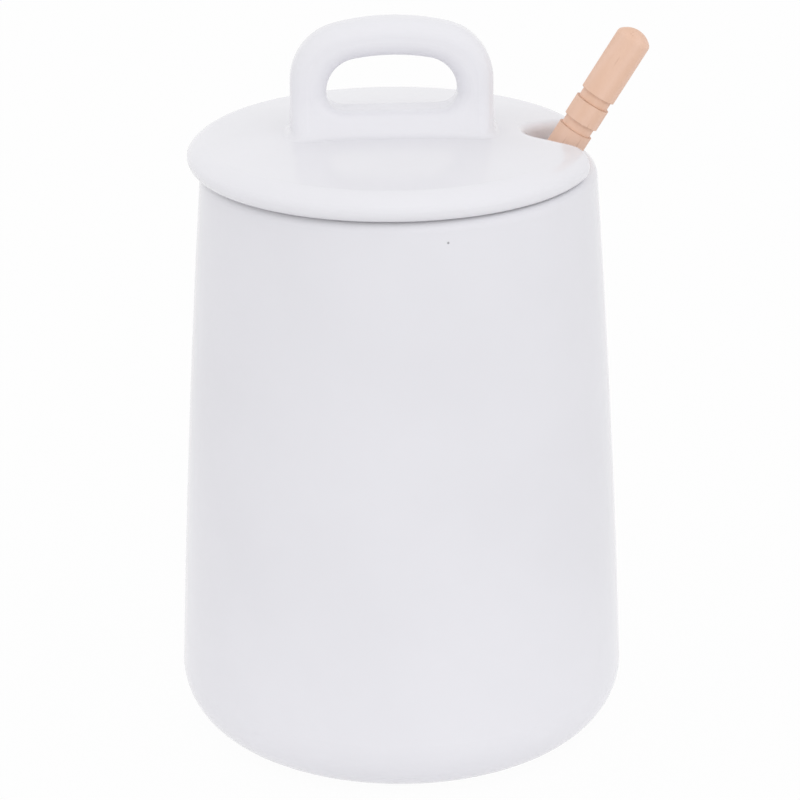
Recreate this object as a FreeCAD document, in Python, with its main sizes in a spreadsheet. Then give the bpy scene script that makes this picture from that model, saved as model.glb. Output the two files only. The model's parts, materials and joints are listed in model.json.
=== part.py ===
"""Honey pot: a glazed pot with a lift-off lid and a turned wooden dipper.

Millimetres, +Z up. The origin is on the table, on the axis of the pot. The loop handle and the notch of the
lid lie along X, and the dipper leans out through the notch on the +X side.
"""
import FreeCAD, Part
import math
import os

import Sketcher

SIZES = (
    # pot
    ("rim_height", 129.0, "table to the top of the rim"),
    ("base_radius", 50.0, "outside of the wall carried down to the table"),
    ("wall_curve_radius", 3260.0, "gentle barrel curve of the wall"),
    ("wall", 3.9, "thickness of the wall"),
    ("floor_height", 6.5, "table to the inside of the floor"),
    ("base_round", 13.5, "large round between the wall and the base"),
    ("cavity_round", 9.0, "round between the wall and the floor inside"),
    ("foot_ring_width", 5.0, "flat ring that stands on the table"),
    ("foot_recess", 1.2, "depth of the base inside the foot ring"),
    ("rim_outer_round", 2.5, "outer edge of the rim"),
    ("rim_inner_round", 0.9, "inner edge of the rim"),
    # lid
    ("lid_radius", 43.9, "outside of the lid"),
    ("lid_overhang", 1.4, "outside of the rim, before its edges are rounded, to the outside of the lid"),
    ("lid_crown_height", 7.9, "seat of the lid to the top of its dome"),
    ("lid_shoulder_height", 5.9, "seat of the lid to where the dome turns over into its edge"),
    ("lid_shoulder_width", 4.5, "where the dome turns over to the outside of the lid"),
    ("lid_shoulder_share", 1.33, "radius of the turned-over shoulder against its width"),
    ("lid_round", 1.8, "upper edge of the lid, notch included"),
    ("lid_seat_round", 2.4, "lower edge of the lid, notch included"),
    ("lid_hollow", 2.7, "depth of the shallow dish under the dome"),
    ("lid_hollow_margin", 2.5, "dish to the rounded end of the notch"),
    ("lid_shift", 1.35, "how far the loose lid sits from the axis of the pot, towards -X"),
    ("ring_depth", 6.0, "locating ring below the seat"),
    ("ring_wall", 3.0, "thickness of the locating ring"),
    ("ring_round", 1.0, "edges of the locating ring"),
    ("ring_gap", 0.35, "locating ring to the mouth on the side where the lid has slid"),
    ("ring_opening", 40.0, "degrees left out of the locating ring at the notch"),
    ("notch_end_gap", 2.4, "stick to the inner end of the notch at the seat"),
    ("notch_end_play", 1.7, "how much rounder than the stick the inner end is"),
    ("notch_flare", 28.5, "degrees between each side of the notch and its middle"),
    ("notch_corner_round", 7.4, "corners where the notch opens through the edge"),
    # loop handle
    ("handle_notch_gap", 6.8, "side of the loop to the inner end of the notch"),
    ("handle_leg", 7.7, "thickness of each leg of the loop"),
    ("handle_top", 32.15, "seat of the lid to the top of the loop"),
    ("handle_depth", 9.0, "front to back"),
    ("handle_flare_share", 0.79, "height where the legs start to spread against that of their straight sides"),
    ("handle_flare_spread", 8.9, "how far the front and the back have spread at the root"),
    ("handle_crown_radius", 50.0, "curve along the top of the loop"),
    ("handle_corner_round", 12.5, "upper corners of the loop"),
    ("handle_edge_round", 3.4, "rounding along the loop"),
    ("handle_foot_round", 1.8, "blend between the loop and the dome"),
    ("finger_hole_top", 24.2, "seat of the lid to the top of the finger hole"),
    ("finger_hole_floor", 12.45, "seat of the lid to the floor of the finger hole"),
    ("finger_hole_crown_radius", 45.0, "curve along the top of the finger hole"),
    ("finger_hole_corner_share", 0.62, "upper corners against the lesser of the hole's half width and height"),
    ("finger_hole_floor_share", 0.95, "lower corners against the lesser of the hole's half width and sides"),
    # dipper
    ("dipper_length", 172.25, "tip of the head to the end of the stick"),
    ("stick_radius", 3.9, "plain stick"),
    ("end_dome", 1.9, "rise of the domed end"),
    ("end_round", 1.2, "edge of the domed end"),
    ("grip_groove_setback", 16.2, "end of the stick to the first groove"),
    ("grip_groove_width", 2.1, "two turned grooves near the end"),
    ("grip_groove_depth", 0.5, "two turned grooves near the end"),
    ("grip_groove_pitch", 6.8, "first groove to the second"),
    ("head_length", 36.0, "ribbed head"),
    ("head_radius", 11.4, "ribbed head at its middle"),
    ("head_end_radius", 7.0, "ribbed head at its two ends"),
    ("head_round", 1.5, "edges of the head's two ends"),
    ("head_core_radius", 5.6, "bottom of the head's slots"),
    ("head_slot_width", 2.7, "each slot"),
    ("head_slot_pitch", 5.6, "slot to slot"),
    ("head_slot_count", 5, "slots in the head"),
    ("head_rib_round", 0.6, "edges of the ribs"),
    ("neck_length", 3.2, "taper from the head to the stick"),
    ("neck_round", 4.0, "blend from the taper to the stick"),
    # fits
    ("rest_gap", 0.3, "dipper to the floor, the wall and the rim"),
    ("overrun", 5.0, "how far a cut runs past the faces it opens"),
)

TOLERANCE = 1e-3
EDGE_SAMPLES = 7

doc = FreeCAD.newDocument("honey_pot")
sheet = doc.addObject("Spreadsheet::Sheet", "sheet")
for row, (alias, number, note) in enumerate(SIZES, start=1):
    sheet.set(f"A{row}", alias)
    sheet.set(f"B{row}", str(number))
    sheet.set(f"C{row}", note)
    sheet.setAlias(f"B{row}", alias)
doc.recompute()

fits = doc.addObject("App::VarSet", "fits")


def derive(name, formula):
    """Add a size that follows from the cells of the sheet and from earlier derived sizes."""
    fits.addProperty("App::PropertyFloat", name, "Derived")
    fits.setExpression(name, formula)
    doc.recompute()


def value(formula):
    """Return the number that a formula has at the moment."""
    return float(sheet.evalExpression(formula))


def derive_arch(name, half_width, top, crown_radius, corner_round):
    """Derive where the corner of an arch starts and where it meets the crown, so that they are tangent."""
    crown_centre = f"({top} - {crown_radius})"
    reach = f"({crown_radius} - {corner_round})"
    inset = f"({half_width} - {corner_round})"
    derive(f"{name}_spring", f"{crown_centre} + sqrt({reach}^2 - {inset}^2)")
    derive(f"{name}_join_x", f"{inset} * {crown_radius} / {reach}")
    derive(f"{name}_join_z", f"{crown_centre} + (fits.{name}_spring - {crown_centre}) * {crown_radius} / {reach}")


def start_body(name):
    body = doc.addObject("PartDesign::Body", name)
    body.Label = name
    return body


def start_sketch(body, name, role):
    sketch = body.newObject("Sketcher::SketchObject", name)
    plane = next(feature for feature in body.Origin.OriginFeatures if feature.Role == role)
    sketch.AttachmentSupport = (plane, [""])
    sketch.MapMode = "FlatFace"
    return sketch


def arc_between(start, end, radius, side):
    """Return the arc of a radius from start to end, with its centre on the left (+1) or the right (-1)."""
    chord = end - start
    rise = math.sqrt(max(radius**2 - (chord.Length / 2)**2, 0))
    left = FreeCAD.Vector(-chord.y, chord.x, 0).normalize()
    centre = start + chord / 2 + left * rise * side
    circle = Part.Circle(centre, FreeCAD.Vector(0, 0, 1), radius)
    first, last = (start, end) if side > 0 else (end, start)
    return Part.ArcOfCircle(circle, circle.parameter(first), circle.parameter(last))


def hold_coordinate(sketch, kind, axis, index, end, formula):
    """Bind one coordinate of a corner to its formula, or hold the corner on an axis."""
    if formula == "0":
        sketch.addConstraint(Sketcher.Constraint("PointOnObject", index, end, axis))
        return
    place = sketch.addConstraint(Sketcher.Constraint(kind, -1, 1, index, end, value(formula)))
    sketch.setExpression(f"Constraints[{place}]", formula)


def draw(sketch, outline):
    """Draw a closed outline whose corners and radii stay bound to their formulas.

    Each entry is a corner (x, y) and, where an arc leads on to the next corner, its (radius, side).
    """
    corners = [FreeCAD.Vector(value(entry[0]), value(entry[1]), 0) for entry in outline]
    first = sketch.GeometryCount
    ends = []
    for step, entry in enumerate(outline):
        start = corners[step]
        end = corners[(step + 1) % len(corners)]
        if len(entry) == 2:
            sketch.addGeometry(Part.LineSegment(start, end), False)
            ends.append((1, 2))
        else:
            radius, side = entry[2]
            sketch.addGeometry(arc_between(start, end, value(radius), side), False)
            ends.append((1, 2) if side > 0 else (2, 1))
    for step in range(len(outline)):
        following = (step + 1) % len(outline)
        join = Sketcher.Constraint("Coincident", first + step, ends[step][1],
                                   first + following, ends[following][0])
        sketch.addConstraint(join)
    for step, entry in enumerate(outline):
        hold_coordinate(sketch, "DistanceX", -2, first + step, ends[step][0], entry[0])
        hold_coordinate(sketch, "DistanceY", -1, first + step, ends[step][0], entry[1])
        if len(entry) == 3:
            radius = entry[2][0]
            place = sketch.addConstraint(Sketcher.Constraint("Radius", first + step, value(radius)))
            sketch.setExpression(f"Constraints[{place}]", radius)
    doc.recompute()


def finish_feature(body, feature):
    body.Tip = feature
    doc.recompute()
    return feature


def turn(body, kind, name, sketch):
    """Revolve a sketch about the axis of its body, to add or to cut."""
    feature = body.newObject(kind, name)
    feature.Profile = sketch
    feature.ReferenceAxis = (sketch, ["V_Axis"])
    feature.Angle = 360
    return finish_feature(body, feature)


def near(one, other):
    return abs(one - other) < TOLERANCE


def radius_of(point):
    return math.hypot(point.x, point.y)


def edges_where(feature, test):
    """Name the edges whose every sampled point passes the test."""
    names = []
    for index, edge in enumerate(feature.Shape.Edges, start=1):
        if not edge.Degenerated and all(test(point) for point in edge.discretize(EDGE_SAMPLES)):
            names.append(f"Edge{index}")
    return names


def ring_edges(feature, radius, height):
    """Name the circular edges of a turned feature at a radius and a height."""
    return edges_where(feature, lambda point: near(radius_of(point), value(radius)) and near(point.z, value(height)))


def round_edges(body, base, name, edges, radius):
    feature = body.newObject("PartDesign::Fillet", name)
    feature.Base = (base, edges)
    feature.setExpression("Radius", radius)
    return finish_feature(body, feature)


def round_ring(body, base, name, radius, height, rounding):
    return round_edges(body, base, name, ring_edges(base, radius, height), rounding)


# Sizes of the pot that follow from the cells
derive("rim_radius", "sheet.lid_radius - sheet.lid_overhang")
derive("wall_slope", "(sheet.base_radius - fits.rim_radius) / sheet.rim_height")
derive("mouth_radius", "fits.rim_radius - sheet.wall")
derive("cavity_floor_radius", "sheet.base_radius - sheet.wall - fits.wall_slope * sheet.floor_height")
derive("base_round_reach", "sheet.base_round / tan((90 deg - atan(fits.wall_slope)) / 2)")
derive("foot_inner_radius", "sheet.base_radius - fits.base_round_reach - sheet.foot_ring_width")

# Where the dipper rests: its tip on the floor and against the wall, its stick against the rim
derive("first_lean", "atan((fits.mouth_radius + fits.cavity_floor_radius - sheet.head_end_radius)"
       " / (sheet.rim_height - sheet.floor_height)) / 1 deg")
derive("head_bulge", "sheet.head_radius - sheet.head_end_radius")
derive("head_curve_radius", "((sheet.head_length / 2)^2 + fits.head_bulge^2) / (2 * fits.head_bulge)")
derive("tip_flare", "asin(sheet.head_length / 2 / fits.head_curve_radius) / 1 deg")
derive("tip_flat_radius", "sheet.head_end_radius - sheet.head_round / tan(45 + fits.tip_flare / 2)")
derive("tip_height", "sheet.floor_height + sheet.rest_gap + sheet.head_round * (1 - cos(fits.first_lean))"
       " + fits.tip_flat_radius * sin(fits.first_lean)")
derive("tip_edge_rise", "fits.tip_height - sheet.floor_height + sheet.head_round * cos(fits.first_lean)"
       " + fits.tip_flat_radius * sin(fits.first_lean)")
derive("tip_edge_drop", "max(sheet.cavity_round - fits.tip_edge_rise; 0)")
derive("tip_edge_room", "sqrt((sheet.cavity_round - sheet.head_round - sheet.rest_gap)^2 - fits.tip_edge_drop^2)")
derive("tip_reach", "fits.cavity_floor_radius - fits.wall_slope * sheet.cavity_round - sheet.cavity_round"
       " + fits.tip_edge_room + sheet.head_round * sin(fits.first_lean)"
       " - fits.tip_flat_radius * cos(fits.first_lean)")
derive("rim_across", "fits.mouth_radius + sheet.rim_inner_round + fits.tip_reach")
derive("rim_above", "sheet.rim_height - sheet.rim_inner_round - fits.tip_height")
derive("stick_offset", "sheet.stick_radius + sheet.rim_inner_round + sheet.rest_gap")
derive("lean", "(atan2(fits.rim_across; fits.rim_above)"
       " - asin(fits.stick_offset / hypot(fits.rim_across; fits.rim_above))) / 1 deg")
derive("stick_at_seat", "(sheet.rim_height - fits.tip_height) * tan(fits.lean) - fits.tip_reach")

# Sizes of the lid that follow from the cells
derive("dome_edge", "sheet.lid_radius - sheet.lid_shoulder_width")
derive("dome_rise", "sheet.lid_crown_height - sheet.lid_shoulder_height")
derive("dome_radius", "(fits.dome_edge^2 + fits.dome_rise^2) / (2 * fits.dome_rise)")
derive("shoulder_radius", "sheet.lid_shoulder_width * sheet.lid_shoulder_share")
derive("shoulder_outside", "fits.dome_edge * (1 - fits.shoulder_radius / fits.dome_radius) + fits.shoulder_radius")
derive("shoulder_base", "sheet.lid_shoulder_height"
       " - fits.shoulder_radius * sqrt(1 - (fits.dome_edge / fits.dome_radius)^2)")
derive("dome_outside", "fits.shoulder_outside + sheet.overrun")
derive("ring_outer_radius", "fits.mouth_radius - sheet.lid_shift - sheet.ring_gap")
derive("ring_inner_radius", "fits.ring_outer_radius - sheet.ring_wall")
derive("notch_end", "fits.stick_at_seat - sheet.stick_radius / cos(fits.lean) + sheet.lid_shift"
       " - sheet.notch_end_gap")
derive("notch_end_radius", "sheet.stick_radius + sheet.notch_end_play")
derive("notch_centre", "fits.notch_end + fits.notch_end_radius")
derive("notch_side_along", "fits.notch_centre - fits.notch_end_radius * sin(sheet.notch_flare)")
derive("notch_side_aside", "fits.notch_end_radius * cos(sheet.notch_flare)")
derive("corner_circle", "sheet.lid_radius - sheet.notch_corner_round")
derive("corner_offset", "fits.notch_end_radius + sheet.notch_corner_round"
       " - fits.notch_centre * sin(sheet.notch_flare)")
derive("corner_reach", "sqrt(fits.corner_circle^2 - fits.corner_offset^2)")
derive("corner_along", "fits.corner_reach * cos(sheet.notch_flare) - fits.corner_offset * sin(sheet.notch_flare)")
derive("corner_aside", "fits.corner_reach * sin(sheet.notch_flare) + fits.corner_offset * cos(sheet.notch_flare)")
derive("corner_side_along", "fits.corner_along + sheet.notch_corner_round * sin(sheet.notch_flare)")
derive("corner_side_aside", "fits.corner_aside - sheet.notch_corner_round * cos(sheet.notch_flare)")
derive("corner_rim_along", "fits.corner_along * sheet.lid_radius / fits.corner_circle")
derive("corner_rim_aside", "fits.corner_aside * sheet.lid_radius / fits.corner_circle")
derive("hollow_radius", "fits.notch_end - sheet.lid_seat_round - sheet.lid_hollow_margin")
derive("hollow_curve_radius", "(fits.hollow_radius^2 + sheet.lid_hollow^2) / (2 * sheet.lid_hollow)")
derive("handle_half_width", "fits.notch_end - sheet.handle_notch_gap")
derive("handle_outside", "fits.handle_half_width + sheet.overrun")
derive("handle_above", "sheet.handle_top + sheet.overrun")
derive("handle_root", "(sheet.lid_shoulder_height + sheet.lid_hollow) / 2")
derive_arch("handle", "fits.handle_half_width", "sheet.handle_top", "sheet.handle_crown_radius",
            "sheet.handle_corner_round")
derive("handle_half_depth", "sheet.handle_depth / 2")
derive("handle_root_half_depth", "fits.handle_half_depth + sheet.handle_flare_spread")
derive("flare_rise", "(fits.handle_spring - fits.handle_root) * sheet.handle_flare_share")
derive("flare_top", "fits.handle_root + fits.flare_rise")
derive("flare_radius", "(fits.flare_rise^2 + sheet.handle_flare_spread^2) / (2 * sheet.handle_flare_spread)")
derive("hole_half_width", "fits.handle_half_width - sheet.handle_leg")
derive("hole_height", "sheet.finger_hole_top - sheet.finger_hole_floor")
derive("hole_corner_round", "sheet.finger_hole_corner_share * min(fits.hole_half_width; fits.hole_height)")
derive_arch("hole", "fits.hole_half_width", "sheet.finger_hole_top", "sheet.finger_hole_crown_radius",
            "fits.hole_corner_round")
derive("hole_side", "fits.hole_spring - sheet.finger_hole_floor")
derive("hole_floor_round", "sheet.finger_hole_floor_share * min(fits.hole_half_width; fits.hole_side)")
derive("hole_floor_half_width", "fits.hole_half_width - fits.hole_floor_round")
derive("hole_side_start", "sheet.finger_hole_floor + fits.hole_floor_round")

# Sizes of the dipper that follow from the cells
derive("neck_top", "sheet.head_length + sheet.neck_length")
derive("end_start", "sheet.dipper_length - sheet.end_dome")
derive("end_radius", "(sheet.stick_radius^2 + sheet.end_dome^2) / (2 * sheet.end_dome)")
derive("slot_run", "sheet.head_slot_pitch * (sheet.head_slot_count - 1)")
derive("slot_start", "(sheet.head_length - fits.slot_run - sheet.head_slot_width) / 2")
derive("slot_end", "fits.slot_start + sheet.head_slot_width")
derive("slot_outside", "sheet.head_radius + sheet.overrun")
derive("groove_end", "sheet.dipper_length - sheet.grip_groove_setback")
derive("groove_start", "fits.groove_end - sheet.grip_groove_width")
derive("groove_radius", "sheet.stick_radius - sheet.grip_groove_depth")
derive("groove_outside", "sheet.stick_radius + sheet.overrun")


# Pot: one turned section with a foot ring, then its rounded edges
pot = start_body("pot_body")
pot_sketch = start_sketch(pot, "pot_section", "XZ_Plane")
draw(pot_sketch, [
    ("0", "sheet.foot_recess"),
    ("fits.foot_inner_radius - sheet.foot_recess", "sheet.foot_recess"),
    ("fits.foot_inner_radius", "0"),
    ("sheet.base_radius", "0", ("sheet.wall_curve_radius", 1)),
    ("fits.rim_radius", "sheet.rim_height"),
    ("fits.mouth_radius", "sheet.rim_height", ("sheet.wall_curve_radius - sheet.wall", -1)),
    ("fits.cavity_floor_radius", "sheet.floor_height"),
    ("0", "sheet.floor_height"),
])
pot_turned = turn(pot, "PartDesign::Revolution", "pot_turned", pot_sketch)
pot_base = round_ring(pot, pot_turned, "pot_base_round", "sheet.base_radius", "0", "sheet.base_round")
pot_cavity = round_ring(pot, pot_base, "pot_cavity_round", "fits.cavity_floor_radius", "sheet.floor_height",
                        "sheet.cavity_round")
pot_rim = round_ring(pot, pot_cavity, "pot_rim_outer_round", "fits.rim_radius", "sheet.rim_height",
                     "sheet.rim_outer_round")
round_ring(pot, pot_rim, "pot_rim_inner_round", "fits.mouth_radius", "sheet.rim_height", "sheet.rim_inner_round")


# Lid: a disc with a flared notch for the stick, turned to a dome. In its own frame the notch lies along +Y
lid = start_body("lid")
lid_sketch = start_sketch(lid, "lid_outline", "XY_Plane")
draw(lid_sketch, [
    ("0", "fits.notch_end", ("fits.notch_end_radius", 1)),
    ("fits.notch_side_aside", "fits.notch_side_along"),
    ("fits.corner_side_aside", "fits.corner_side_along", ("sheet.notch_corner_round", -1)),
    ("fits.corner_rim_aside", "fits.corner_rim_along", ("sheet.lid_radius", -1)),
    ("sheet.lid_radius", "0", ("sheet.lid_radius", -1)),
    ("0", "-sheet.lid_radius", ("sheet.lid_radius", -1)),
    ("-sheet.lid_radius", "0", ("sheet.lid_radius", -1)),
    ("-fits.corner_rim_aside", "fits.corner_rim_along", ("sheet.notch_corner_round", -1)),
    ("-fits.corner_side_aside", "fits.corner_side_along"),
    ("-fits.notch_side_aside", "fits.notch_side_along", ("fits.notch_end_radius", 1)),
])
lid_disc = lid.newObject("PartDesign::Pad", "lid_disc")
lid_disc.Profile = lid_sketch
lid_disc.setExpression("Length", "sheet.lid_crown_height")
finish_feature(lid, lid_disc)

dome_sketch = start_sketch(lid, "dome_section", "XZ_Plane")
draw(dome_sketch, [
    ("0", "sheet.lid_crown_height", ("fits.dome_radius", 1)),
    ("-fits.dome_edge", "sheet.lid_shoulder_height", ("fits.shoulder_radius", 1)),
    ("-fits.shoulder_outside", "fits.shoulder_base"),
    ("-fits.dome_outside", "fits.shoulder_base"),
    ("-fits.dome_outside", "sheet.lid_crown_height + sheet.overrun"),
    ("0", "sheet.lid_crown_height + sheet.overrun"),
])
dome = turn(lid, "PartDesign::Groove", "dome", dome_sketch)

dome_radius = value("fits.dome_radius")
dome_centre = FreeCAD.Vector(0, 0, value("sheet.lid_crown_height") - dome_radius)


def is_on_dome(point):
    return near(point.distanceToPoint(dome_centre), dome_radius)


def is_upright(face, point):
    return near(face.normalAt(*face.Surface.parameter(point)).z, 0)


def outline_edges(feature, is_at_height):
    """Name the edges between one upright face and one other face, at the heights that pass the test."""
    names = []
    for index, edge in enumerate(feature.Shape.Edges, start=1):
        if edge.Degenerated:
            continue
        middle = edge.discretize(EDGE_SAMPLES)[EDGE_SAMPLES // 2]
        beside = feature.Shape.ancestorsOfType(edge, Part.Face)
        upright = [is_upright(face, middle) for face in beside]
        if len(beside) == 2 and upright.count(True) == 1 and is_at_height(middle.z):
            names.append(f"Edge{index}")
    return names


lower_outline = outline_edges(dome, lambda height: near(height, 0))
lid_lower = round_edges(lid, dome, "lid_lower_round", lower_outline, "sheet.lid_seat_round")
upper_start = value("sheet.lid_seat_round")
upper_outline = outline_edges(lid_lower, lambda height: height > upper_start + TOLERANCE)
round_edges(lid, lid_lower, "lid_upper_round", upper_outline, "sheet.lid_round")

# Underside: a shallow dish, and the ring that locates the lid in the mouth
hollow_sketch = start_sketch(lid, "hollow_section", "XZ_Plane")
draw(hollow_sketch, [
    ("0", "-sheet.overrun"),
    ("0", "sheet.lid_hollow", ("fits.hollow_curve_radius", 1)),
    ("-fits.hollow_radius", "0"),
    ("-fits.hollow_radius", "-sheet.overrun"),
])
turn(lid, "PartDesign::Groove", "hollow", hollow_sketch)

ring_sketch = start_sketch(lid, "ring_section", "YZ_Plane")
draw(ring_sketch, [
    ("-fits.ring_outer_radius", "-sheet.ring_depth"),
    ("-fits.ring_inner_radius", "-sheet.ring_depth"),
    ("-fits.ring_inner_radius", "sheet.ring_round"),
    ("-fits.ring_outer_radius", "sheet.ring_round"),
])
ring = lid.newObject("PartDesign::Revolution", "ring")
ring.Profile = ring_sketch
ring.ReferenceAxis = (ring_sketch, ["V_Axis"])
ring.Midplane = True
ring.setExpression("Angle", "360 - sheet.ring_opening")
finish_feature(lid, ring)

ring_radii = (value("fits.ring_inner_radius"), value("fits.ring_outer_radius"))
ring_end_angle = math.radians(value("sheet.ring_opening / 2"))


def is_ring_end(point):
    at_end = near(abs(math.atan2(point.x, point.y)), ring_end_angle)
    return at_end and any(near(radius_of(point), radius) for radius in ring_radii)


ring_ends = round_edges(lid, ring, "ring_ends", edges_where(ring, is_ring_end), "sheet.ring_round")
ring_bottom = value("-sheet.ring_depth")
ring_lower = edges_where(ring_ends, lambda point: near(point.z, ring_bottom))
round_edges(lid, ring_ends, "ring_lower_round", ring_lower, "sheet.ring_round")

# Loop handle, cast in one piece with the dome: a bar whose front and back spread into the dome, its upper
# outline, then the finger hole
handle_sketch = start_sketch(lid, "handle_section", "XZ_Plane")
draw(handle_sketch, [
    ("-fits.handle_root_half_depth", "fits.handle_root"),
    ("fits.handle_root_half_depth", "fits.handle_root", ("fits.flare_radius", -1)),
    ("fits.handle_half_depth", "fits.flare_top"),
    ("fits.handle_half_depth", "fits.handle_above"),
    ("-fits.handle_half_depth", "fits.handle_above"),
    ("-fits.handle_half_depth", "fits.flare_top", ("fits.flare_radius", -1)),
])
handle = lid.newObject("PartDesign::Pad", "handle")
handle.Profile = handle_sketch
handle.SideType = "Symmetric"
handle.setExpression("Length", "fits.handle_half_width * 2")
finish_feature(lid, handle)


def cut_through_handle(name, outline):
    """Cut an outline, drawn as the loop is seen from its front, through the whole depth of the loop."""
    sketch = start_sketch(lid, f"{name}_outline", "YZ_Plane")
    draw(sketch, outline)
    cut = lid.newObject("PartDesign::Pocket", name)
    cut.Profile = sketch
    cut.SideType = "Symmetric"
    cut.setExpression("Length", "(fits.handle_root_half_depth + sheet.overrun) * 2")
    return finish_feature(lid, cut)


cut_through_handle("handle_crown", [
    ("fits.handle_half_width", "fits.handle_spring", ("sheet.handle_corner_round", 1)),
    ("fits.handle_join_x", "fits.handle_join_z", ("sheet.handle_crown_radius", 1)),
    ("-fits.handle_join_x", "fits.handle_join_z", ("sheet.handle_corner_round", 1)),
    ("-fits.handle_half_width", "fits.handle_spring"),
    ("-fits.handle_outside", "fits.handle_spring"),
    ("-fits.handle_outside", "fits.handle_above + sheet.overrun"),
    ("fits.handle_outside", "fits.handle_above + sheet.overrun"),
    ("fits.handle_outside", "fits.handle_spring"),
])
handle_loop = cut_through_handle("finger_hole", [
    ("-fits.hole_floor_half_width", "sheet.finger_hole_floor"),
    ("fits.hole_floor_half_width", "sheet.finger_hole_floor", ("fits.hole_floor_round", 1)),
    ("fits.hole_half_width", "fits.hole_side_start"),
    ("fits.hole_half_width", "fits.hole_spring", ("fits.hole_corner_round", 1)),
    ("fits.hole_join_x", "fits.hole_join_z", ("sheet.finger_hole_crown_radius", 1)),
    ("-fits.hole_join_x", "fits.hole_join_z", ("fits.hole_corner_round", 1)),
    ("-fits.hole_half_width", "fits.hole_spring"),
    ("-fits.hole_half_width", "fits.hole_side_start", ("fits.hole_floor_round", 1)),
])

handle_half_width = value("fits.handle_half_width")
handle_half_depth = value("fits.handle_half_depth")
handle_root_half_depth = value("fits.handle_root_half_depth")
flare_top = value("fits.flare_top")
flare_radius = value("fits.flare_radius")


def half_depth_at(height):
    below = max(flare_top - height, 0)
    return handle_half_depth + flare_radius - math.sqrt(max(flare_radius**2 - below**2, 0))


def is_handle_foot(point):
    inside = abs(point.x) < handle_root_half_depth and abs(point.y) < handle_half_width + TOLERANCE
    return inside and is_on_dome(point)


def is_handle_edge(point):
    return near(abs(point.x), half_depth_at(point.z))


foot_edges = edges_where(handle_loop, is_handle_foot)
flare_edges = edges_where(handle_loop, lambda point: near(point.z, flare_top))
handle_edges = [name for name in edges_where(handle_loop, is_handle_edge) if name not in foot_edges + flare_edges]
handle_rounded = round_edges(lid, handle_loop, "handle_edges", handle_edges, "sheet.handle_edge_round")
round_edges(lid, handle_rounded, "handle_foot", edges_where(handle_rounded, is_handle_foot),
            "sheet.handle_foot_round")

lid.Placement = FreeCAD.Placement(FreeCAD.Vector(), FreeCAD.Rotation(FreeCAD.Vector(0, 0, 1), -90))
lid.setExpression("Placement.Base.x", "-sheet.lid_shift")
lid.setExpression("Placement.Base.z", "sheet.rim_height")


# Dipper: turned stick and head, tip at its own origin
dipper = start_body("honey_dipper")
dipper_sketch = start_sketch(dipper, "dipper_section", "XZ_Plane")
draw(dipper_sketch, [
    ("0", "0"),
    ("sheet.head_end_radius", "0", ("fits.head_curve_radius", 1)),
    ("sheet.head_end_radius", "sheet.head_length"),
    ("sheet.stick_radius", "fits.neck_top"),
    ("sheet.stick_radius", "fits.end_start", ("fits.end_radius", 1)),
    ("0", "sheet.dipper_length"),
])
dipper_turned = turn(dipper, "PartDesign::Revolution", "dipper_turned", dipper_sketch)
dipper_tip = round_ring(dipper, dipper_turned, "tip_round", "sheet.head_end_radius", "0", "sheet.head_round")
dipper_shoulder = round_ring(dipper, dipper_tip, "shoulder_round", "sheet.head_end_radius", "sheet.head_length",
                             "sheet.head_round")
dipper_neck = round_ring(dipper, dipper_shoulder, "neck_round", "sheet.stick_radius", "fits.neck_top",
                         "sheet.neck_round")
dipper_end = round_ring(dipper, dipper_neck, "end_round", "sheet.stick_radius", "fits.end_start",
                        "sheet.end_round")

# Slots of the head
slot_sketch = start_sketch(dipper, "slot_section", "XZ_Plane")
draw(slot_sketch, [
    ("sheet.head_core_radius", "fits.slot_start"),
    ("fits.slot_outside", "fits.slot_start"),
    ("fits.slot_outside", "fits.slot_end"),
    ("sheet.head_core_radius", "fits.slot_end"),
])
slot = turn(dipper, "PartDesign::Groove", "slot", slot_sketch)
slots = dipper.newObject("PartDesign::LinearPattern", "slots")
slots.Originals = [slot]
slots.Direction = (slot_sketch, ["V_Axis"])
slots.setExpression("Length", "fits.slot_run")
slots.setExpression("Occurrences", "sheet.head_slot_count")
finish_feature(dipper, slots)

slot_starts = [value(f"fits.slot_start + {index} * sheet.head_slot_pitch")
               for index in range(int(value("sheet.head_slot_count")))]
slot_width = value("sheet.head_slot_width")
core_radius = value("sheet.head_core_radius")


def is_rib_edge(point):
    outside = radius_of(point) > core_radius + TOLERANCE
    return outside and any(near(point.z, start) or near(point.z, start + slot_width) for start in slot_starts)


ribs = round_edges(dipper, slots, "rib_round", edges_where(slots, is_rib_edge), "sheet.head_rib_round")

# Grip grooves near the end of the stick
groove_sketch = start_sketch(dipper, "groove_section", "XZ_Plane")
draw(groove_sketch, [
    ("fits.groove_radius", "fits.groove_start"),
    ("fits.groove_outside", "fits.groove_start"),
    ("fits.groove_outside", "fits.groove_end"),
    ("fits.groove_radius", "fits.groove_end"),
])
groove = turn(dipper, "PartDesign::Groove", "grip_groove", groove_sketch)
grooves = dipper.newObject("PartDesign::LinearPattern", "grip_grooves")
grooves.Originals = [groove]
grooves.Direction = (groove_sketch, ["V_Axis"])
grooves.Reversed = True
grooves.setExpression("Length", "sheet.grip_groove_pitch")
grooves.Occurrences = 2
finish_feature(dipper, grooves)

dipper.Placement = FreeCAD.Placement(FreeCAD.Vector(), FreeCAD.Rotation(FreeCAD.Vector(0, 1, 0), value("fits.lean")))
dipper.setExpression("Placement.Base.x", "-fits.tip_reach")
dipper.setExpression("Placement.Base.z", "fits.tip_height")
dipper.setExpression("Placement.Rotation.Angle", "fits.lean")
doc.recompute()


# Every feature must have worked before anything is written
for item in doc.Objects:
    if "Invalid" in item.State or "Error" in item.State:
        raise RuntimeError(f"{item.Label} failed: {item.State}")

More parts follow.
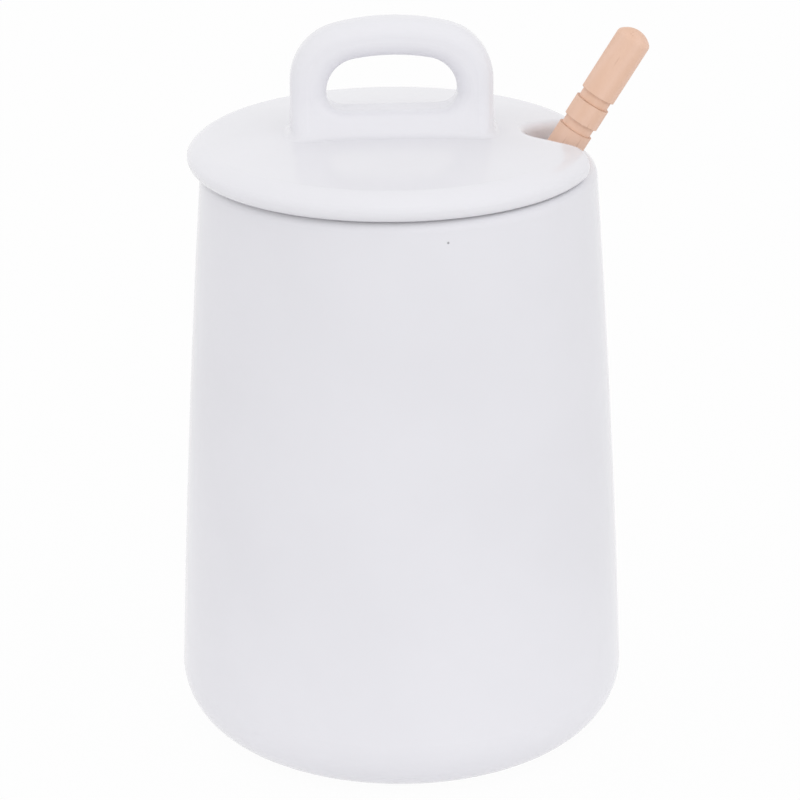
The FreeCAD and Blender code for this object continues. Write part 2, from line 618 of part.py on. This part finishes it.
os.makedirs("parts", exist_ok=True)
for body in (pot, lid, dipper):
    shape = body.Shape
    if shape.isNull() or not shape.isValid() or len(shape.Solids) != 1:
        raise RuntimeError(f"{body.Label} is not one valid solid")
    shape.exportStep(f"parts/{body.Label}.step")
    box = shape.BoundBox
    print(f"{body.Label}: x {box.XMin:.2f} to {box.XMax:.2f}, y {box.YMin:.2f} to {box.YMax:.2f},"
          f" z {box.ZMin:.2f} to {box.ZMax:.2f}, volume {shape.Volume:.0f} mm3")
print(f"lean {fits.lean:.3f} degrees, tip at x {-fits.tip_reach:.3f}, z {fits.tip_height:.3f}")
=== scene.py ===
"""A white ceramic honey pot with a loop-handled lid and a beech dipper, dressed and lit for its picture."""

import json
import math

import bpy
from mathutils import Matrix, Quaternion, Vector

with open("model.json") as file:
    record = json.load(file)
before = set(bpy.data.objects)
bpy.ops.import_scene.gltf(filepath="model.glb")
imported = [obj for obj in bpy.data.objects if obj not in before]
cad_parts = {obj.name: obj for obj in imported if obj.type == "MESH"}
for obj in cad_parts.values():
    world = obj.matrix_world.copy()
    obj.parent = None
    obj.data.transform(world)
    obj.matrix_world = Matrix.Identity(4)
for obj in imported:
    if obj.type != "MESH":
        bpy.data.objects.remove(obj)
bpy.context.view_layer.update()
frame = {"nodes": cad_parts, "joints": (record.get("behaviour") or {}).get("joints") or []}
joints = {joint["name"]: joint for joint in frame["joints"]}

# Where the picture is taken from
AIM = Vector((0.0, 0.0, 0.0744))
CAMERA_DISTANCE = 0.70
CAMERA_AZIMUTH = math.radians(-3.0)
CAMERA_ELEVATION = math.radians(20.98)
CAMERA_ROLL = math.radians(-0.38)
SENSOR_WIDTH = 36.0
LENS = 142.7

# Places on the object that its finishes follow
FOOT_RING_TOP = 0.0005
LID_RING_EDGE = 0.1236
LID_SEAT = 0.1290
# The next width is that of a thin grey line of painted shade along the seam where the lid sits on the rim
SEAM_SHADE_WIDTH = 0.00026
PINHOLE = (0.0078, -0.0421, 0.1244)
PINHOLE_RADIUS = 0.00034
DIPPER_TIP = (-0.039016, 0.0, 0.010282)
DIPPER_LENGTH = 0.17225
GROOVE_SETBACK = 0.0162
GROOVE_WIDTH = 0.0021
GROOVE_PITCH = 0.0068
# Width of the darker lines along the groove edges
GROOVE_EDGE_LINE_WIDTH = 0.00016

# Soft margins of those places, as shares of their widths or as lengths
BARE_MARGIN = 0.0003
# Core share of the painted shade line along the lid's seam
SEAM_SHADE_CORE_SHARE = 0.6
PINHOLE_CORE_SHARE = 0.45
GROOVE_EDGE_LINE_CORE_SHARE = 0.3
GROOVE_COUNT = 2

# The stage: paper, tent and light table
FLOOR_RADIUS = 4.0
PAPER_GREY = (0.75, 0.75, 0.75, 1.0)
PAPER_WHITE_SHARE = 0.96
WHITE = (1.0, 1.0, 1.0, 1.0)
TENT_EVEN = 0.54
TENT_FRONT = 0.73
TENT_ABOVE = 0.14
TENT_BEHIND = 0.68
TABLE_HEIGHT = 0.0004
TABLE_WIDTH = 0.26
TABLE_WATTS = 0.034

# Colours, as linear light
POT_WHITE = (0.772, 0.767, 0.806)
# The lid's white is a little lighter than the pot's: painted light, for the lid's top facing the light
LID_WHITE_WITH_PAINTED_LIGHT = (0.800, 0.795, 0.832)
BISCUIT = (0.72, 0.66, 0.57)
# Grey of the pinhole: painted shade in the small hole
PINHOLE_SHADE_GREY = (0.36, 0.36, 0.38)
# Grey of the painted shade line along the lid's seam
SEAM_SHADE_GREY = (0.42, 0.41, 0.42)
BEECH_PALE = (0.860, 0.612, 0.503)
BEECH_DEEP = (0.765, 0.500, 0.365)
BEECH_FLECK = (0.560, 0.330, 0.230)
# Darker brown drawn in thin lines along both edges of each groove
GROOVE_EDGE_BROWN = (0.400, 0.235, 0.150)

# Strength of the mirror-like part of each glaze, and how rough it is
POT_SHINE = 0.18
LID_SHINE = 0.35
GLAZE_ROUGHNESS = 0.14
GLAZE_RELIEF = 0.00012
WOOD_RELIEF = 0.0001

# Grain of the finishes, in repeats per metre: for the wood across it twice, then along it
POOL_SCALE = 26.0
RIPPLE_SCALE = 85.0
MOTTLE_SCALE = 240.0
CLAY_SCALE = 1500.0
DRIFT_SCALE = (150.0, 150.0, 22.0)
FIBRE_SCALE = (2600.0, 2600.0, 70.0)
WARP_SCALE = (90.0, 90.0, 9.0)
FLECK_SCALE = (1250.0, 1250.0, 150.0)
FLECK_PATCH_SCALE = (700.0, 700.0, 80.0)
RING_WARP = 0.0035
RING_FREQUENCY = 2300.0


class Signal:
    """A node's output that can be used in sums like a number."""

    def __init__(self, finish, socket):
        self.finish = finish
        self.socket = socket

    def __add__(self, other):
        return self.finish.maths("ADD", self, other)

    def __sub__(self, other):
        return self.finish.maths("SUBTRACT", self, other)

    def __rsub__(self, other):
        return self.finish.maths("SUBTRACT", other, self)

    def __mul__(self, other):
        return self.finish.maths("MULTIPLY", self, other)

    def __abs__(self):
        return self.finish.maths("ABSOLUTE", self)

    __radd__ = __add__
    __rmul__ = __mul__


class Finish:
    """One material or world, with the nodes that give it its look."""

    def __init__(self, owner, shader):
        owner.use_nodes = True
        self.owner = owner
        self.tree = owner.node_tree
        self.shader = self.tree.nodes[shader]

    def add(self, kind, settings, sockets, output=0):
        node = self.tree.nodes.new(kind)
        for name, setting in settings.items():
            setattr(node, name, setting)
        self.feed(node, sockets)
        return Signal(self, node.outputs[output])

    def feed(self, node, sockets):
        for name, source in sockets.items():
            if isinstance(source, Signal):
                self.tree.links.new(source.socket, node.inputs[name])
            else:
                node.inputs[name].default_value = source

    def maths(self, operation, *terms):
        return self.add("ShaderNodeMath", {"operation": operation}, dict(enumerate(terms)))

    def places(self, kind="Object"):
        return self.add("ShaderNodeTexCoord", {}, {}, kind)

    def split(self, vector):
        parts = self.add("ShaderNodeSeparateXYZ", {}, {"Vector": vector})
        return [Signal(self, socket) for socket in parts.socket.node.outputs]

    def stretched(self, vector, scale):
        return self.add("ShaderNodeMapping", {"vector_type": "POINT"}, {"Vector": vector, "Scale": scale})

    def noise(self, vector, scale, detail=2.0):
        return self.add("ShaderNodeTexNoise", {}, {"Vector": vector, "Scale": scale, "Detail": detail})

    def ease(self, value, low, high):
        return self.add("ShaderNodeMapRange", {"interpolation_type": "SMOOTHSTEP"},
                        {"Value": value, "From Min": low, "From Max": high})

    def blend(self, share, first, second):
        first = first if isinstance(first, Signal) else (*first, 1.0)
        second = second if isinstance(second, Signal) else (*second, 1.0)
        return self.add("ShaderNodeMix", {"data_type": "RGBA"}, {0: share, 6: first, 7: second}, 2)

    def bump(self, height, strength, depth):
        return self.add("ShaderNodeBump", {}, {"Height": height, "Strength": strength, "Distance": depth})

    def seen(self):
        """1 where this is looked at, straight on, mirrored or through glass, and 0 where it lights things."""
        rays = self.add("ShaderNodeLightPath", {}, {}).socket.node.outputs
        direct, mirrored, through = [
            Signal(self, rays[kind]) for kind in ("Is Camera Ray", "Is Glossy Ray", "Is Transmission Ray")]
        return self.maths("MAXIMUM", self.maths("MAXIMUM", direct, mirrored), through)

    def wear(self, node):
        node.data.materials.clear()
        node.data.materials.append(self.owner)


def new_finish(name):
    return Finish(bpy.data.materials.new(name), "Principled BSDF")


def tinted(colour, share):
    return tuple(part * share for part in colour)


def glaze(name, white, bare_below):
    """Clear glaze over a white body: it pools a little here and there, and the kiln foot stays bare."""
    finish = new_finish(name)
    places = finish.places()
    height = finish.split(places)[2]
    pooling = finish.noise(places, POOL_SCALE, 3.0)
    mottle = finish.noise(places, MOTTLE_SCALE, 2.0)
    ripple = finish.noise(places, RIPPLE_SCALE, 2.0)
    bare = 1 - finish.ease(height, bare_below - BARE_MARGIN, bare_below)
    clay = finish.noise(places, CLAY_SCALE, 4.0)

    colour = finish.blend(finish.ease(pooling, 0.30, 0.70), tinted(white, 0.985), tinted(white, 1.012))
    colour = finish.blend(mottle * 0.35, colour, tinted(white, 0.985))
    bisque = finish.blend(clay, tinted(BISCUIT, 0.9), tinted(BISCUIT, 1.1))
    colour = finish.blend(bare, colour, bisque)
    surface = ripple * 0.8 + mottle * 0.2 + clay * bare
    roughness = finish.ease(mottle, 0.2, 0.8) * 0.05 + GLAZE_ROUGHNESS + bare * 0.6
    return finish, places, colour, surface, roughness


def dress_glaze(finish, colour, surface, roughness, shine):
    """Lead a glaze's colour, relief and roughness into its shader."""
    finish.feed(finish.shader, {
        "Base Color": colour,
        "Roughness": roughness,
        "IOR": 1.5,
        "Specular IOR Level": shine,
        "Normal": finish.bump(surface, 0.25, GLAZE_RELIEF),
    })


def pot_glaze():
    """The pot's glaze, with one pinhole under the rim: a small dip, greyed with painted shade."""
    finish, places, colour, surface, roughness = glaze("pot_glaze", POT_WHITE, FOOT_RING_TOP)
    away = finish.add("ShaderNodeVectorMath", {"operation": "DISTANCE"}, {0: places, 1: PINHOLE}, "Value")
    # The pinhole is a small dip in the relief, and its grey is painted shade
    pinhole = 1 - finish.ease(away, PINHOLE_RADIUS * PINHOLE_CORE_SHARE, PINHOLE_RADIUS)
    colour = finish.blend(pinhole, colour, PINHOLE_SHADE_GREY)
    surface = surface - pinhole
    dress_glaze(finish, colour, surface, roughness, POT_SHINE)
    return finish


def lid_glaze():
    """The lid's glaze, with a thin grey line of painted shade along the seam where the lid sits on the rim.
    """
    # The lid's white is lighter than the pot's: painted light for its top
    finish, places, colour, surface, roughness = glaze("lid_glaze", LID_WHITE_WITH_PAINTED_LIGHT, LID_RING_EDGE)
    height = finish.split(places)[2]
    # Painted shade: a thin grey line that darkens the seam where the lid sits on the rim
    seam_shade = 1 - finish.ease(abs(height - LID_SEAT), SEAM_SHADE_WIDTH * SEAM_SHADE_CORE_SHARE, SEAM_SHADE_WIDTH)
    colour = finish.blend(seam_shade, colour, SEAM_SHADE_GREY)
    dress_glaze(finish, colour, surface, roughness, LID_SHINE)
    return finish


def beech():
    """Bare sanded beech along the dipper's length, with flecks, growth bands and darker lines along the
    groove edges.
    """
    finish = new_finish("beech")
    axis = joints["dipper_pull"]["axis"]
    lean = math.atan2(axis[0], axis[2])
    stick = finish.add("ShaderNodeMapping", {"vector_type": "TEXTURE"},
                       {"Vector": finish.places(), "Location": DIPPER_TIP, "Rotation": (0.0, lean, 0.0)})
    across, aside, along = finish.split(stick)

    drift = finish.noise(finish.stretched(stick, DRIFT_SCALE), 1.0, 2.0)
    fibre = finish.noise(finish.stretched(stick, FIBRE_SCALE), 1.0, 3.0)
    warp = finish.noise(finish.stretched(stick, WARP_SCALE), 1.0, 1.0)
    depth = across * 0.8 + aside * 0.6 + warp * RING_WARP
    rings = finish.maths("SINE", depth * RING_FREQUENCY) * 0.5 + 0.5
    fleck_cells = finish.add("ShaderNodeTexVoronoi", {}, {
        "Vector": finish.stretched(stick, FLECK_SCALE), "Scale": 1.0, "Randomness": 1.0})
    fleck_pick = finish.noise(finish.stretched(stick, FLECK_PATCH_SCALE), 1.0, 1.0)
    flecks = (1 - finish.ease(fleck_cells, 0.10, 0.30)) * finish.ease(fleck_pick, 0.52, 0.60)

    # Darker lines along both edges of each groove, fading in and out along the stick
    groove_edge_lines = None
    for groove in range(GROOVE_COUNT):
        top = DIPPER_LENGTH - GROOVE_SETBACK - groove * GROOVE_PITCH
        for edge in (top, top - GROOVE_WIDTH):
            line = 1 - finish.ease(abs(along - edge), GROOVE_EDGE_LINE_WIDTH * GROOVE_EDGE_LINE_CORE_SHARE, GROOVE_EDGE_LINE_WIDTH)
            groove_edge_lines = line if groove_edge_lines is None else finish.maths("MAXIMUM", groove_edge_lines, line)
    groove_edge_lines = groove_edge_lines * finish.ease(drift, 0.25, 0.65)

    colour = finish.blend(finish.ease(drift, 0.30, 0.70), BEECH_PALE, BEECH_DEEP)
    colour = finish.blend(rings * 0.16, colour, BEECH_DEEP)
    colour = finish.blend(finish.ease(fibre, 0.35, 0.75) * 0.22, colour, BEECH_DEEP)
    colour = finish.blend(flecks * 0.40, colour, BEECH_FLECK)
    colour = finish.blend(groove_edge_lines * 0.42, colour, GROOVE_EDGE_BROWN)
    finish.feed(finish.shader, {
        "Base Color": colour,
        "Roughness": fibre * 0.15 + 0.50,
        "Specular IOR Level": 0.35,
        "Normal": finish.bump(fibre - flecks * 0.6, 0.25, WOOD_RELIEF),
    })
    return finish


pot_glaze().wear(frame["nodes"]["pot_body"])
lid_glaze().wear(frame["nodes"]["lid"])
beech().wear(frame["nodes"]["honey_dipper"])


def lay_floor():
    """A wide sheet of white paper under the pot, seen as white but for the pot's shadow."""
    bpy.ops.object.select_all(action="DESELECT")
    bpy.ops.mesh.primitive_circle_add(vertices=96, radius=FLOOR_RADIUS, fill_type="NGON")
    floor = bpy.context.object
    floor.name = "floor"
    paper = new_finish("white_paper")
    paper.feed(paper.shader, {"Base Color": PAPER_GREY, "Roughness": 0.9, "Specular IOR Level": 0.1})
    white = paper.add("ShaderNodeEmission", {}, {"Color": WHITE, "Strength": 1.0})
    sheet = Signal(paper, paper.shader.outputs["BSDF"])
    shown = paper.add("ShaderNodeMixShader", {}, {0: paper.seen() * PAPER_WHITE_SHARE, 1: sheet, 2: white})
    paper.feed(paper.tree.nodes["Material Output"], {"Surface": shown})
    paper.wear(floor)


def hang_lamp(name, place, target, width, watts):
    """A round lamp that faces its target."""
    data = bpy.data.lights.new(name, "AREA")
    data.shape = "DISK"
    data.size = width
    data.energy = watts
    lamp = bpy.data.objects.new(name, data)
    lamp.location = place
    lamp.rotation_mode = "QUATERNION"
    lamp.rotation_quaternion = (Vector(target) - Vector(place)).to_track_quat("-Z", "Y")
    bpy.context.scene.collection.objects.link(lamp)
    return lamp


def light_room():
    """A white light tent, brightest in front and high behind, with a faintly lit table under the pot."""
    tent = Finish(bpy.data.worlds.new("light_tent"), "Background")
    across, depth, height = tent.split(tent.places("Generated"))
    front = tent.ease(abs(across) * 0.9 + across * 0.17 - depth, 0.0, 1.3)
    above = tent.ease(height * 0.707 - depth * 0.707, 0.65, 1.0)
    behind = tent.ease(depth * 0.78 + height * 0.58 - across * 0.24, 0.5, 1.0)
    glow = TENT_EVEN + front * TENT_FRONT + above * TENT_ABOVE + behind * TENT_BEHIND
    seen = tent.seen()
    tent.feed(tent.shader, {"Color": WHITE, "Strength": glow * (1 - seen) + seen})
    bpy.context.scene.world = tent.owner
    table = hang_lamp("light_table", (0.0, 0.0, TABLE_HEIGHT), (0.0, 0.0, 1.0), TABLE_WIDTH, TABLE_WATTS)
    table.visible_glossy = False


def place_camera():
    """The camera that took the picture: turned round the pot, raised, and rolled a little."""
    data = bpy.data.cameras.new("camera")
    data.sensor_width = SENSOR_WIDTH
    data.lens = LENS
    camera = bpy.data.objects.new("camera", data)
    level = math.cos(CAMERA_ELEVATION)
    across = math.sin(CAMERA_AZIMUTH) * level
    towards = -math.cos(CAMERA_AZIMUTH) * level
    back = Vector((across, towards, math.sin(CAMERA_ELEVATION)))
    camera.location = AIM + back * CAMERA_DISTANCE
    camera.rotation_mode = "QUATERNION"
    facing = (-back).to_track_quat("-Z", "Y")
    camera.rotation_quaternion = facing @ Quaternion((0.0, 0.0, 1.0), CAMERA_ROLL)
    bpy.context.scene.collection.objects.link(camera)
    bpy.context.scene.camera = camera


lay_floor()
light_room()
place_camera()
bpy.context.scene.view_settings.view_transform = "Standard"
